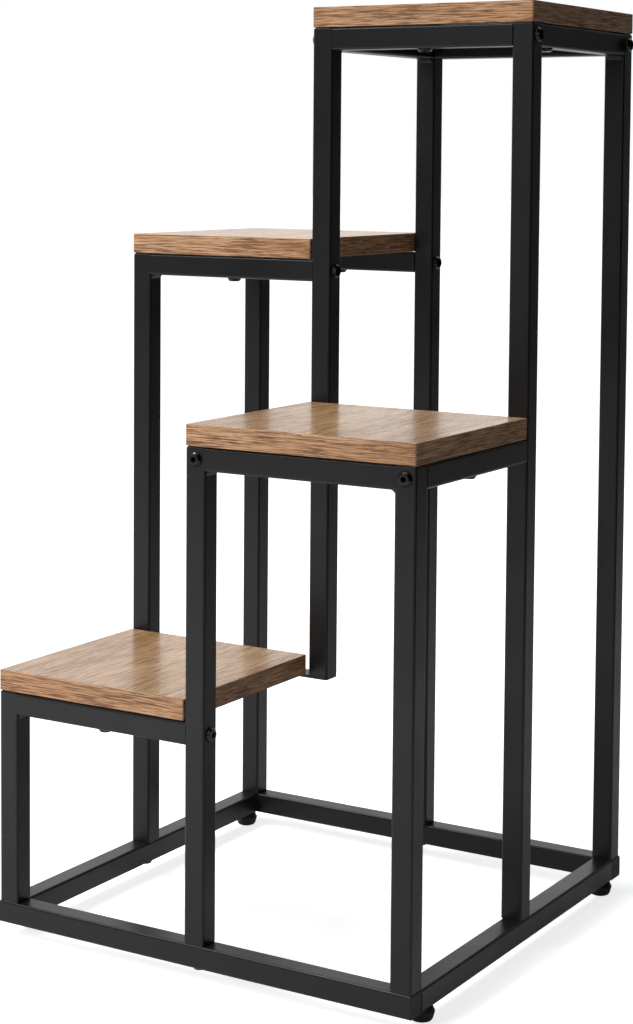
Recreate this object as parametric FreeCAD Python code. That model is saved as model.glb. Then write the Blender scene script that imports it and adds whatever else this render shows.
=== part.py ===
"""Stepped plant stand: a black square-tube frame that carries four wood-grain shelves.

Millimetres, +Z up. The origin is on the floor, under the middle of the stand. +X runs along the
front from the lowest shelf's side to the near corner, and +Y runs to the back.
"""
import FreeCAD
import Part
import math
import os

# Whole stand
frame_width = 425.0
frame_depth = 425.0
middle_row_setback = 2.4
shelf_1_top = 246.0
shelf_2_top = 484.0
shelf_3_top = 635.0
shelf_4_top = 848.0

# Square steel tube
tube = 20.0
tube_wall = 1.2
tube_corner = 2.2

# Base ring stands a little proud of the posts
base_proud = 1.0

# Shelf boards with their edge bands
board_thickness = 18.5
board_overhang = 0.2
board_post_gap = 1.2
band_thickness = 1.0
band_corner = 1.6
band_edge_round = 0.5

# Moulded caps on the post tops and plugs in the open ends of the base rails
cap_flange = 1.0
cap_edge_chamfer = 0.8
cap_plug_depth = 5.0
cap_plug_wall = 1.6
plug_clearance = 0.1

# Button-head bolts and the threaded end nuts that they pull on
bolt_diameter = 6.0
bolt_hole_clearance = 0.4
bolt_head_diameter = 13.0
bolt_head_height = 3.3
bolt_head_flat_diameter = 9.6
bolt_head_rim = 1.0
socket_across_flats = 4.0
socket_depth = 2.2
bolt_tip_chamfer = 0.6
nut_length = 10.0
nut_thread_clearance = 0.15

# Shelf screws from below, and the flanged inserts in the boards
screw_reach = 11.0
insert_diameter = 9.0
insert_length = 13.0
insert_flange_diameter = 14.0
insert_clearance = 0.1
side_screw_offset = 27.0

# Flat plate under the hanging centre post, which also carries the lowest board's inner corner
plate_thickness = 3.0
plate_reach = 38.0
plate_forward = 28.0
plate_inset = 11.0
plate_corner = 3.0

# Welds: beads in the corners under the welded rail ends, and fills beside the posts' round corners
weld_leg = 4.0
weld_hollow_share = 0.36
weld_fill_reach = 1.8

# Levelling feet
foot_front_distance = 37.0
foot_back_distance = 25.0
foot_pad_height = 12.6
foot_seat_gap = 0.6
foot_tread_diameter = 12.4
foot_shoulder_diameter = 17.2
foot_shoulder_height = 1.0
foot_side_diameter = 19.6
foot_side_height = 3.2
foot_wide_diameter = 22.4
foot_wide_height = 8.5
foot_wide_land = 0.8
foot_top_diameter = 18.8
foot_stud_diameter = 6.0
foot_stud_socket = 8.0
foot_stud_head_room = 2.0
foot_thread_clearance = 0.08
foot_hole_clearance = 0.5
foot_nut_across_flats = 10.0
foot_nut_height = 8.0

# One overrun for every cut
overrun = 1.0

# A full turn in degrees
full_turn = 360.0

# Directions
RIGHT = FreeCAD.Vector(1, 0, 0)
LEFT = FreeCAD.Vector(-1, 0, 0)
BACK = FreeCAD.Vector(0, 1, 0)
UP = FreeCAD.Vector(0, 0, 1)
DOWN = FreeCAD.Vector(0, 0, -1)

# Centre lines of the post grid
column_x = {"left": -(frame_width - tube) / 2, "middle": 0.0, "right": (frame_width - tube) / 2}
row_y = {"front": -(frame_depth - tube) / 2, "middle": middle_row_setback, "back": (frame_depth - tube) / 2}

# Levels: every tube frame ends one cap flange below its board
base_bottom = foot_pad_height + foot_seat_gap
base_top = base_bottom + tube
shelf_tops = {"shelf_1": shelf_1_top, "shelf_2": shelf_2_top, "shelf_3": shelf_3_top, "shelf_4": shelf_4_top}
board_bottom = {tier: top - board_thickness for tier, top in shelf_tops.items()}
rail_top = {tier: bottom - cap_flange for tier, bottom in board_bottom.items()}
rail_middle = {tier: top - tube / 2 for tier, top in rail_top.items()}

# Posts: column, row, lower end, tier at the upper end
POSTS = {
    "post_front_left": ("left", "front", base_top, "shelf_1"),
    "post_front_middle": ("middle", "front", base_top, "shelf_2"),
    "post_front_right": ("right", "front", base_top, "shelf_2"),
    "post_left_middle": ("left", "middle", base_top, "shelf_3"),
    "post_back_left": ("left", "back", base_top, "shelf_3"),
    "post_centre": ("middle", "middle", rail_top["shelf_1"], "shelf_4"),
    "post_right_middle": ("right", "middle", base_top, "shelf_4"),
    "post_back_middle": ("middle", "back", base_top, "shelf_4"),
    "post_back_right": ("right", "back", base_top, "shelf_4"),
}

# Tier rails: tier, then the place of the post at each end and how the rail is joined to it
TIER_RAILS = {
    "tier_1_rail_front": ("shelf_1", ("left", "front"), "weld", ("middle", "front"), "bolt"),
    "tier_1_rail_left": ("shelf_1", ("left", "front"), "weld", ("left", "middle"), "weld"),
    "tier_2_rail_front": ("shelf_2", ("middle", "front"), "weld", ("right", "front"), "weld"),
    "tier_2_rail_left": ("shelf_2", ("middle", "front"), "bolt", ("middle", "middle"), "bolt"),
    "tier_2_rail_right": ("shelf_2", ("right", "front"), "bolt", ("right", "middle"), "bolt"),
    "tier_3_rail_front": ("shelf_3", ("left", "middle"), "weld", ("middle", "middle"), "bolt"),
    "tier_3_rail_back": ("shelf_3", ("left", "back"), "weld", ("middle", "back"), "bolt"),
    "tier_3_rail_left": ("shelf_3", ("left", "middle"), "weld", ("left", "back"), "weld"),
    "tier_4_rail_front": ("shelf_4", ("middle", "middle"), "bolt", ("right", "middle"), "bolt"),
    "tier_4_rail_back": ("shelf_4", ("middle", "back"), "bolt", ("right", "back"), "bolt"),
    "tier_4_rail_left": ("shelf_4", ("middle", "middle"), "weld", ("middle", "back"), "weld"),
    "tier_4_rail_right": ("shelf_4", ("right", "middle"), "weld", ("right", "back"), "weld"),
}

# Posts that are bolted to the base ring from below
BASE_BOLTED = (("middle", "front"), ("left", "middle"), ("right", "middle"), ("middle", "back"))

# Boards: tier, then which sides run out over the frame; the other sides stop at a post's face
BOARD_SIDES = {
    "shelf_1": {"left": True, "right": False, "front": True, "back": False},
    "shelf_2": {"left": True, "right": True, "front": True, "back": False},
    "shelf_3": {"left": True, "right": False, "front": True, "back": True},
    "shelf_4": {"left": True, "right": True, "front": True, "back": True},
}
BOARD_COLUMNS = {
    "shelf_1": ("left", "middle"),
    "shelf_2": ("middle", "right"),
    "shelf_3": ("left", "middle"),
    "shelf_4": ("middle", "right"),
}
BOARD_ROWS = {
    "shelf_1": ("front", "middle"),
    "shelf_2": ("front", "middle"),
    "shelf_3": ("middle", "back"),
    "shelf_4": ("middle", "back"),
}

# Middle of the span between two grid lines
left_span = (column_x["left"] + column_x["middle"]) / 2
right_span = (column_x["middle"] + column_x["right"]) / 2
front_span = (row_y["front"] + row_y["middle"]) / 2

# Shelf screws through the rails: tier, x, y
RAIL_SCREWS = (
    ("shelf_1", left_span, row_y["front"]),
    ("shelf_1", column_x["left"], front_span),
    ("shelf_2", column_x["middle"], front_span),
    ("shelf_2", column_x["right"], front_span),
    ("shelf_3", left_span, row_y["middle"]),
    ("shelf_3", left_span, row_y["back"]),
    ("shelf_4", right_span, row_y["middle"]),
    ("shelf_4", right_span, row_y["back"]),
    ("shelf_4", column_x["right"], row_y["middle"] + tube / 2 + side_screw_offset),
)

# Centre plate's edges, and its screw in the middle of the part under the lowest board
plate_left = -tube / 2 - plate_reach
plate_inner = -tube / 2 - board_post_gap - plate_inset
plate_back = row_y["middle"] + tube / 2
plate_post_front = row_y["middle"] - tube / 2
plate_front = plate_post_front - board_post_gap - plate_forward
plate_screw_x = (plate_left + plate_inner) / 2
plate_screw_y = plate_front + plate_forward / 2

# Feet: name, x, y
ring_x = column_x["right"] + base_proud
ring_y = row_y["back"] + base_proud
front_foot_y = -frame_depth / 2 - base_proud + foot_front_distance
back_foot_y = frame_depth / 2 + base_proud - foot_back_distance
FEET = {
    "foot_front_left": (-ring_x, front_foot_y),
    "foot_front_right": (ring_x, front_foot_y),
    "foot_back_left": (-ring_x, back_foot_y),
    "foot_back_right": (ring_x, back_foot_y),
}


def aim(shape, origin, direction):
    """Turn a shape that was made along +Z to a direction, and move its start to the origin point."""
    turn = FreeCAD.Rotation(UP, direction)
    placed = shape.copy()
    placed.Placement = FreeCAD.Placement(origin, turn)
    return placed


def square_bar(side, corner, length):
    """Solid square bar along +Z with rounded long edges, centred on the axis."""
    bar = Part.makeBox(side, side, length, FreeCAD.Vector(-side / 2, -side / 2, 0))
    long_edges = [edge for edge in bar.Edges if edge.BoundBox.ZLength > length / 2]
    return bar.makeFillet(corner, long_edges)


def square_tube(length):
    """Hollow square tube along +Z."""
    outer = square_bar(tube, tube_corner, length)
    bore = square_bar(tube - 2 * tube_wall, tube_corner - tube_wall, length + 2 * overrun)
    bore.translate(DOWN * overrun)
    return outer.cut(bore)


def cylinder(diameter, length):
    """Plain cylinder along +Z."""
    return Part.makeCylinder(diameter / 2, length)


def turned(points):
    """Solid of revolution about Z from radius and height pairs."""
    outline = [FreeCAD.Vector(radius, 0, height) for radius, height in points]
    outline.append(outline[0])
    face = Part.Face(Part.makePolygon(outline))
    return face.revolve(FreeCAD.Vector(), UP, full_turn)


def hexagon_bar(across_flats, length):
    """Hexagonal bar along +Z."""
    corner_radius = across_flats / 2 / math.cos(math.pi / 6)
    corners = []
    for side in range(6):
        angle = side * math.pi / 3
        corners.append(FreeCAD.Vector(corner_radius * math.cos(angle), corner_radius * math.sin(angle), 0))
    corners.append(corners[0])
    return Part.Face(Part.makePolygon(corners)).extrude(UP * length)


def button_bolt(shank_length):
    """Button-head bolt along +Z: its head lies below zero and its shank above."""
    head = bolt_head_diameter / 2
    flat = bolt_head_flat_diameter / 2
    shank = bolt_diameter / 2
    bolt = turned((
        (0, -bolt_head_height),
        (flat, -bolt_head_height),
        (head, -bolt_head_rim),
        (head, 0),
        (shank, 0),
        (shank, shank_length - bolt_tip_chamfer),
        (shank - bolt_tip_chamfer, shank_length),
        (0, shank_length),
    ))
    socket = hexagon_bar(socket_across_flats, socket_depth + overrun)
    socket.translate(DOWN * (bolt_head_height + overrun))
    return bolt.cut(socket)


def end_nut():
    """Square threaded nut that is fixed in the end of a tube, along +Z."""
    side = tube - 2 * tube_wall - 2 * plug_clearance
    corner = tube_corner - tube_wall
    thread = cylinder(bolt_diameter + 2 * nut_thread_clearance, nut_length)
    return square_bar(side, corner, nut_length).cut(thread)


def tube_cap():
    """Moulded cap along +Z: a flange of the tube's outline above zero and a hollow plug below."""
    flange = square_bar(tube, tube_corner, cap_flange)
    rim = [edge for edge in flange.Edges if edge.BoundBox.ZMin > cap_flange / 2]
    flange = flange.makeChamfer(cap_edge_chamfer, rim)
    side = tube - 2 * tube_wall - 2 * plug_clearance
    corner = tube_corner - tube_wall
    plug = square_bar(side, corner, cap_plug_depth)
    hollow_side = side - 2 * cap_plug_wall
    hollow = Part.makeBox(hollow_side, hollow_side, cap_plug_depth,
                          FreeCAD.Vector(-hollow_side / 2, -hollow_side / 2, 0))
    plug = plug.cut(hollow)
    plug.translate(DOWN * cap_plug_depth)
    return flange.fuse(plug).removeSplitter()


def flanged_insert():
    """Threaded board insert along +Z: its flange spans the gap over a rail and its body fills a pocket."""
    outer = insert_diameter / 2
    flange = insert_flange_diameter / 2
    thread = bolt_diameter / 2 + nut_thread_clearance
    return turned((
        (thread, 0),
        (flange, 0),
        (flange, cap_flange),
        (outer, cap_flange),
        (outer, cap_flange + insert_length),
        (thread, cap_flange + insert_length),
    ))


def post_place(column, row, height):
    """Point on a post's axis."""
    return FreeCAD.Vector(column_x[column], row_y[row], height)


def rail_ends(joint):
    """Point on the post's axis at each rail end with the asked joint, and the way from it into the rail."""
    ends = []
    for tier, start, start_joint, end, end_joint in TIER_RAILS.values():
        first = post_place(*start, rail_middle[tier])
        last = post_place(*end, rail_middle[tier])
        way = FreeCAD.Vector(last - first).normalize()
        if start_joint == joint:
            ends.append((first, way))
        if end_joint == joint:
            ends.append((last, -way))
    return ends


def bolt_places():
    """Seat of each bolt head and the way it points, for the rails and then for the base."""
    rail_bolts = [(place - way * (tube / 2), way) for place, way in rail_ends("bolt")]
    base_bolts = [(post_place(column, row, base_bottom), UP) for column, row in BASE_BOLTED]
    return rail_bolts, base_bolts


def screw_places():
    """Seat of each shelf screw's head under its rail."""
    return [FreeCAD.Vector(x, y, rail_top[tier] - tube) for tier, x, y in RAIL_SCREWS]


def plate_screw_place():
    """Seat of the screw's head under the centre plate."""
    return FreeCAD.Vector(plate_screw_x, plate_screw_y, rail_top["shelf_1"] - plate_thickness)


def insert_places():
    """Foot of each board insert: on its rail or on the centre plate."""
    places = {tier: [] for tier in shelf_tops}
    for tier, x, y in RAIL_SCREWS:
        places[tier].append(FreeCAD.Vector(x, y, rail_top[tier]))
    places["shelf_1"].append(FreeCAD.Vector(plate_screw_x, plate_screw_y, rail_top["shelf_1"]))
    return places


def drills():
    """Clearance holes for every bolt, screw and foot stud that passes through a tube wall or the plate."""
    hole = bolt_diameter + 2 * bolt_hole_clearance
    long_hole = cylinder(hole, tube + 2 * overrun)
    short_hole = cylinder(hole, plate_thickness + 2 * overrun)
    rail_bolts, base_bolts = bolt_places()
    cutters = [aim(long_hole, seat - way * overrun, way) for seat, way in rail_bolts + base_bolts]
    cutters += [aim(long_hole, seat + DOWN * overrun, UP) for seat in screw_places()]
    cutters.append(aim(short_hole, plate_screw_place() + DOWN * overrun, UP))
    stud_hole = cylinder(foot_stud_diameter + 2 * foot_hole_clearance, tube_wall + 2 * overrun)
    for x, y in FEET.values():
        cutters.append(aim(stud_hole, FreeCAD.Vector(x, y, base_bottom - overrun), UP))
    return cutters


def drilled(shape, cutters):
    """Cut the holes that reach a piece."""
    for cutter in cutters:
        if shape.BoundBox.intersect(cutter.BoundBox):
            shape = shape.cut(cutter)
    return shape


def post(name, cutters):
    """Upright tube between its lower end and the level of its tier's rails."""
    column, row, lower, tier = POSTS[name]
    upright = aim(square_tube(rail_top[tier] - lower), post_place(column, row, lower), UP)
    return drilled(upright, cutters)


def tier_rail(name, cutters):
    """Level tube between the facing sides of two posts."""
    tier, start, start_joint, end, end_joint = TIER_RAILS[name]
    first = post_place(*start, rail_middle[tier])
    span = post_place(*end, rail_middle[tier]) - first
    direction = FreeCAD.Vector(span).normalize()
    rail = aim(square_tube(span.Length - tube), first + direction * (tube / 2), direction)
    return drilled(rail, cutters)


def weld_bead():
    """Concave bead from the origin, out along +X under a rail and down a post's face."""
    width = tube - 2 * tube_corner
    corner = FreeCAD.Vector(0, -width / 2, 0)
    outer = corner + RIGHT * weld_leg
    lower = corner + DOWN * weld_leg
    hollow_middle = corner + (RIGHT + DOWN) * (weld_leg * weld_hollow_share)
    hollow = Part.Arc(outer, hollow_middle, lower).toShape()
    outline = Part.Wire([Part.makeLine(corner, outer), hollow, Part.makeLine(lower, corner)])
    return Part.Face(outline).extrude(BACK * width)


def weld_fills():
    """Flush welds between a rail's end at the origin and the round corners of the post on its -X side."""
    rail_end = aim(square_bar(tube, tube_corner, weld_fill_reach), FreeCAD.Vector(), LEFT)
    post_side = square_bar(tube, tube_corner, tube + 2 * overrun)
    post_side.translate(LEFT * (tube / 2) + DOWN * (tube / 2 + overrun))
    return rail_end.cut(post_side)


def weld_beads():
    """A bead in the corner under each welded rail end, and the flush fills beside it."""
    beads = []
    for place, way in rail_ends("weld"):
        turn = FreeCAD.Rotation(UP, math.degrees(math.atan2(way.y, way.x)))
        bead = weld_bead()
        bead.Placement = FreeCAD.Placement(place + (way + DOWN) * (tube / 2), turn)
        fills = weld_fills()
        fills.Placement = FreeCAD.Placement(place + way * (tube / 2), turn)
        beads.extend([bead, *fills.Solids])
    return beads


def base_cross_rail(y, cutters):
    """Base rail along X, with room for a plug's flange at each end."""
    length = frame_width + 2 * base_proud - 2 * cap_flange
    start = FreeCAD.Vector(-length / 2, y, base_bottom + tube / 2)
    return drilled(aim(square_tube(length), start, RIGHT), cutters)


def base_side_rail(x, cutters):
    """Base rail along Y, between the two cross rails."""
    length = frame_depth + 2 * base_proud - 2 * tube
    start = FreeCAD.Vector(x, -length / 2, base_bottom + tube / 2)
    return drilled(aim(square_tube(length), start, BACK), cutters)


def base_rail_plugs():
    """Plugs in the four open ends of the cross rails."""
    end = frame_width / 2 + base_proud - cap_flange
    height = base_bottom + tube / 2
    plugs = []
    for y in (-ring_y, ring_y):
        plugs.append(aim(tube_cap(), FreeCAD.Vector(-end, y, height), LEFT))
        plugs.append(aim(tube_cap(), FreeCAD.Vector(end, y, height), RIGHT))
    return plugs


def post_caps():
    """Caps on the upper ends of all posts; the boards rest on their flanges."""
    return [aim(tube_cap(), post_place(column, row, rail_top[tier]), UP)
            for column, row, lower, tier in POSTS.values()]


def board_limits(tier):
    """Outer limits of a board in X and Y."""
    sides = BOARD_SIDES[tier]
    reach = {side: tube / 2 + board_overhang if out else -tube / 2 - board_post_gap
             for side, out in sides.items()}
    first_column, last_column = BOARD_COLUMNS[tier]
    first_row, last_row = BOARD_ROWS[tier]
    low = FreeCAD.Vector(column_x[first_column] - reach["left"], row_y[first_row] - reach["front"], 0)
    high = FreeCAD.Vector(column_x[last_column] + reach["right"], row_y[last_row] + reach["back"], 0)
    return low, high


def board_block(tier, inset, corner):
    """Board-shaped block, drawn in on all four sides, with rounded upright edges."""
    low, high = board_limits(tier)
    length = high.x - low.x - 2 * inset
    depth = high.y - low.y - 2 * inset
    start = FreeCAD.Vector(low.x + inset, low.y + inset, board_bottom[tier])
    block = Part.makeBox(length, depth, board_thickness, start)
    uprights = [edge for edge in block.Edges if edge.BoundBox.ZLength > board_thickness / 2]
    return block.makeFillet(corner, uprights)


def board_core(tier):
    """Faced board inside its edge band, with a pocket for each insert."""
    core = board_block(tier, band_thickness, band_corner - band_thickness)
    pocket = cylinder(insert_diameter + 2 * insert_clearance, insert_length + insert_clearance + overrun)
    for place in insert_places()[tier]:
        core = core.cut(aim(pocket, place + UP * (cap_flange - overrun), UP))
    return core


def edge_band(tier):
    """Band round the board's four edges, with eased outer arrises."""
    outer = board_block(tier, 0, band_corner)
    arrises = [edge for edge in outer.Edges if edge.BoundBox.ZLength < board_thickness / 2]
    eased = outer.makeFillet(band_edge_round, arrises)
    return eased.cut(board_block(tier, band_thickness, band_corner - band_thickness))


def centre_plate(cutters):
    """Flat plate that closes the centre post's lower end and reaches under the lowest board's corner."""
    bottom = rail_top["shelf_1"] - plate_thickness
    right = tube / 2
    free_corners = [(plate_left, plate_front), (plate_inner, plate_front), (plate_left, plate_back)]
    post_corners = [(plate_inner, plate_post_front), (right, plate_post_front), (right, plate_back)]
    outline = free_corners[:2] + post_corners + free_corners[2:]
    corners = [FreeCAD.Vector(x, y, bottom) for x, y in outline]
    corners.append(corners[0])
    plate = Part.Face(Part.makePolygon(corners)).extrude(UP * plate_thickness)
    rounded = []
    for edge in plate.Edges:
        upright = edge.BoundBox.ZLength > plate_thickness / 2
        place = (edge.BoundBox.Center.x, edge.BoundBox.Center.y)
        if upright and any(math.dist(place, corner) < plate_thickness for corner in free_corners):
            rounded.append(edge)
    return drilled(plate.makeFillet(plate_corner, rounded), cutters)


def foot_pad(x, y):
    """Moulded foot: a small flat tread, a flared side, a widest land and a cone up to the rail."""
    wide = foot_wide_diameter / 2
    pad = turned((
        (0, 0),
        (foot_tread_diameter / 2, 0),
        (foot_shoulder_diameter / 2, foot_shoulder_height),
        (foot_side_diameter / 2, foot_side_height),
        (wide, foot_wide_height - foot_wide_land / 2),
        (wide, foot_wide_height + foot_wide_land / 2),
        (foot_top_diameter / 2, foot_pad_height),
        (0, foot_pad_height),
    ))
    socket = cylinder(foot_stud_diameter, foot_stud_socket + overrun)
    socket.translate(UP * (foot_pad_height - foot_stud_socket))
    return aim(pad.cut(socket), FreeCAD.Vector(x, y, 0), UP)


def foot_stud(x, y):
    """Threaded stud from the pad's socket up into the base rail."""
    bottom = foot_pad_height - foot_stud_socket
    top = base_top - tube_wall - foot_stud_head_room
    stud = cylinder(foot_stud_diameter, top - bottom)
    tip = [edge for edge in stud.Edges if edge.BoundBox.ZMin > (top - bottom) / 2]
    return aim(stud.makeChamfer(bolt_tip_chamfer, tip), FreeCAD.Vector(x, y, bottom), UP)


def foot_nuts():
    """Hexagon nuts fixed inside the base rails, one over each foot."""
    nut = hexagon_bar(foot_nut_across_flats, foot_nut_height)
    nut = nut.cut(cylinder(foot_stud_diameter + 2 * foot_thread_clearance, foot_nut_height))
    height = base_bottom + tube_wall
    return [aim(nut, FreeCAD.Vector(x, y, height), UP) for x, y in FEET.values()]


def fasteners():
    """Bolts, screws, nuts and inserts, each kind as a group of separate solids."""
    rail_bolts, base_bolts = bolt_places()
    bolt = button_bolt(tube + nut_length)
    screw = button_bolt(tube + cap_flange + screw_reach)
    plate_screw = button_bolt(plate_thickness + cap_flange + screw_reach)
    groups = {
        "rail_bolts": [aim(bolt, seat, way) for seat, way in rail_bolts],
        "rail_end_nuts": [aim(end_nut(), seat + way * tube, way) for seat, way in rail_bolts],
        "base_bolts": [aim(bolt, seat, way) for seat, way in base_bolts],
        "post_foot_nuts": [aim(end_nut(), seat + way * tube, way) for seat, way in base_bolts],
        "shelf_screws": [aim(screw, seat, UP) for seat in screw_places()],
        "plate_screw": [aim(plate_screw, plate_screw_place(), UP)],
    }
    groups["shelf_inserts"] = [aim(flanged_insert(), place, UP)
                               for places in insert_places().values() for place in places]
    return groups


def build():
    """All nodes of the stand by name."""
    cutters = drills()
    nodes = {name: post(name, cutters) for name in POSTS}
    nodes.update({name: tier_rail(name, cutters) for name in TIER_RAILS})
    nodes["base_rail_front"] = base_cross_rail(-ring_y, cutters)
    nodes["base_rail_back"] = base_cross_rail(ring_y, cutters)
    nodes["base_rail_left"] = base_side_rail(-ring_x, cutters)
    nodes["base_rail_right"] = base_side_rail(ring_x, cutters)
    nodes["base_rail_plugs"] = Part.makeCompound(base_rail_plugs())
    nodes["post_caps"] = Part.makeCompound(post_caps())
    nodes["centre_plate"] = centre_plate(cutters)
    nodes["weld_beads"] = Part.makeCompound(weld_beads())
    for tier in shelf_tops:
        nodes[f"{tier}_board"] = board_core(tier)
        nodes[f"{tier}_edge_band"] = edge_band(tier)
    for name, solids in fasteners().items():
        nodes[name] = Part.makeCompound(solids)
    for name, (x, y) in FEET.items():
        nodes[f"{name}_pad"] = foot_pad(x, y)
        nodes[f"{name}_stud"] = foot_stud(x, y)
    nodes["foot_nuts"] = Part.makeCompound(foot_nuts())
    return nodes


os.makedirs("parts", exist_ok=True)
for node_name, node_shape in build().items():
    node_shape.exportStep(os.path.join("parts", node_name + ".step"))
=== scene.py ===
"""Visual model of a stepped plant stand: tubes, boards, fasteners, feet, finishes and a studio stage."""
import math

import bmesh
import bpy
from mathutils import Matrix, Vector


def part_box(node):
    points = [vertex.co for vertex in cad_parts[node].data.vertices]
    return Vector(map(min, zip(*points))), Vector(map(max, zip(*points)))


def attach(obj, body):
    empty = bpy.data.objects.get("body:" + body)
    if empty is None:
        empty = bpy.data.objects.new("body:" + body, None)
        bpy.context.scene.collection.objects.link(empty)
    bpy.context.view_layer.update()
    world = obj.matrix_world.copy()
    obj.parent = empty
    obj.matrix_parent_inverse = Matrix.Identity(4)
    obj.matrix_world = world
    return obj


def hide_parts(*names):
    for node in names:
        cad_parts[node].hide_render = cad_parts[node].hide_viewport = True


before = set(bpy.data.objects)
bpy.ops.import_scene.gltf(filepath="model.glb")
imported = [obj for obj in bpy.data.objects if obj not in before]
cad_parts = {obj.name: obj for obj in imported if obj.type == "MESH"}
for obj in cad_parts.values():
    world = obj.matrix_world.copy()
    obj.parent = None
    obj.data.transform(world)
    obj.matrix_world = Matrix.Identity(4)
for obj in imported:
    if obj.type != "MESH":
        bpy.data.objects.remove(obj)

bl_info = {
    "name": "Stepped plant stand",
    "version": (1, 0, 0),
    "blender": (4, 5, 0),
    "location": "View3D > Sidebar > Plant Stand",
    "description": "Builds the visual pieces, finishes and stage of a stepped plant stand",
    "category": "Object",
}

# A millimetre in metres, and the distance within which points are welded
MM = 0.001
WELD = 0.001 * MM
# Index and direction of the upright axis
UP = 2
UP_AXIS = (0.0, 0.0, 1.0)
WHITE = (1.0, 1.0, 1.0, 1.0)

# Names in the frame: the bodies, the starts of shelf and tube names, and nodes by kind
BODY = "stand"
FEET = ("foot_front_left", "foot_front_right", "foot_back_left", "foot_back_right")
TIERS = ("shelf_1", "shelf_2", "shelf_3", "shelf_4")
TUBE_STARTS = ("post_front", "post_left", "post_back", "post_centre", "post_right",
               "tier_", "base_rail_")
RAIL_PLUGS = "base_rail_plugs"
CORNER_RAILS = ("base_rail_left", "base_rail_right")
TIGHT_RAILS = ("tier_1_rail_front", "tier_3_rail_front")
BOLT_NODES = ("rail_bolts", "base_bolts", "shelf_screws", "plate_screw")
INNER_NODES = ("rail_end_nuts", "post_foot_nuts", "shelf_inserts", "foot_nuts")

# Outlines of turned pieces: radius and height, as shares of the piece's own
HEAD_SHARES = ((0.70, 1.0), (0.75, 0.985), (0.96, 0.42), (0.99, 0.32), (1.0, 0.22), (1.0, 0.03),
               (0.985, 0.0))
PAD_SHARES = ((0.55, 0.0), (0.60, 0.03), (0.76, 0.08), (0.83, 0.16), (0.877, 0.26), (0.94, 0.45),
              (0.99, 0.62), (1.0, 0.67), (0.995, 0.71), (0.94, 0.80), (0.845, 0.97), (0.83, 1.0))
# Ridge of a thread: shares of its depth and of its pitch, turns before the lower end, turns to spare
RIDGE_SHARES = ((0.0, 0.0), (1.0, 0.3125), (1.0, 0.6875), (0.0, 1.0))
LEAD_TURNS = 1.5
SPARE_TURNS = 2
SOCKET_SIDES = 6
QUAD_SIDES = 4

# Facets across each rounding
SEGMENTS = {
    "post_top": 3, "cap_corner": 4, "cap_edge": 3, "plate_corner": 5, "plate_edge": 2,
    "board_corner": 3, "board_seam": 1, "band_corner": 4, "band_edge": 3,
}

# Largest angle, in degrees, between faces that share a normal
SMOOTH_LIMIT = 40.0
BOARD_LIMIT = 30.0
BOLT_LIMIT = 35.0
THREAD_LIMIT = 50.0

# Least share along an axis for an edge that follows it, a face square to it and a face that lies
ALONG_SHARE = 0.99
SQUARE_SHARE = 0.999
LYING_SHARE = 0.7
# Distance below which two places count as one
NEAR = 0.1 * MM

# Gloss and relief of the painted, plated and moulded finishes
RELIEF_FINISHES = {
    "black_frame": {"rough": 0.34, "spread": 0.05, "scale": 1500.0, "depth": 0.10, "specular": 0.30},
    "black_bolt": {"rough": 0.13, "spread": 0.04, "scale": 900.0, "depth": 0.05, "specular": 0.38},
    "black_plastic": {"rough": 0.55, "spread": 0.06, "scale": 1100.0, "depth": 0.15, "specular": 0.35},
    "plated_steel": {"rough": 0.48, "spread": 0.08, "scale": 700.0, "depth": 0.05, "specular": 0.5,
                     "metallic": 1.0},
}
RELIEF_DISTANCE = 0.2 * MM
RELIEF_GRAIN = {"Detail": 3.0, "Roughness": 0.55}
RELIEF_CLOUD = {"Scale": 14.0, "Detail": 4.0, "Roughness": 0.6}
CLOUD_RANGE = (0.3, 0.7)

# Grain direction, gloss, pore strength, clear coat and tint of the two wood prints
EDGE_MAP = "Along the edge"
WOOD_FINISHES = {
    "board_face": {"turn": math.pi / 2, "rough": 0.27, "pores": 0.5, "specular": 0.38, "coat": 0.18,
                   "tint": (1.03, 1.07, 0.98, 1.0)},
    "edge_band": {"turn": 0.0, "rough": 0.45, "pores": 0.82, "specular": 0.25, "coat": 0.0,
                  "tint": WHITE, "uv_map": EDGE_MAP},
}
WOOD_RELIEF = 0.12
PORE_ROUGHNESS = 0.22
COAT_ROUGHNESS = 0.13

# Edge print: sides that run along X, and its shifts along and across for each side and metre of height
SIDES_ALONG_X = (0, 2)
SIDE_SHIFT = (0.7, 0.13)
HEIGHT_SHIFT = (3.1, 1.7)

# Layers of the wood print: repeats in a metre along and across the grain, and the noise of each
GRAIN_LAYERS = {
    "bands": {"repeats": (2.2, 34.0, 34.0), "Detail": 5.0, "Roughness": 0.62, "Distortion": 0.6},
    "streaks": {"repeats": (28.0, 900.0, 900.0), "Detail": 3.0, "Roughness": 0.55, "Distortion": 0.2},
    "pores": {"repeats": (40.0, 800.0, 800.0), "Detail": 3.0, "Roughness": 0.65, "Distortion": 0.1},
    "clumps": {"repeats": (16.0, 75.0, 75.0), "Detail": 2.0, "Roughness": 0.5, "Distortion": 0.0},
}
# Places of the four tones on the bands, factors of the streaks, and how clumps and pores make dashes
TONE_PLACES = (0.30, 0.46, 0.60, 0.74)
STREAK_STOPS = (
    (0.39, (0.46, 0.39, 0.35, 1.0)),
    (0.48, (0.88, 0.86, 0.84, 1.0)),
    (0.58, (1.12, 1.15, 1.22, 1.0)),
)
CLUMP_SHARE = 0.34
PORE_RANGE = (0.685, 0.765)

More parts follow.
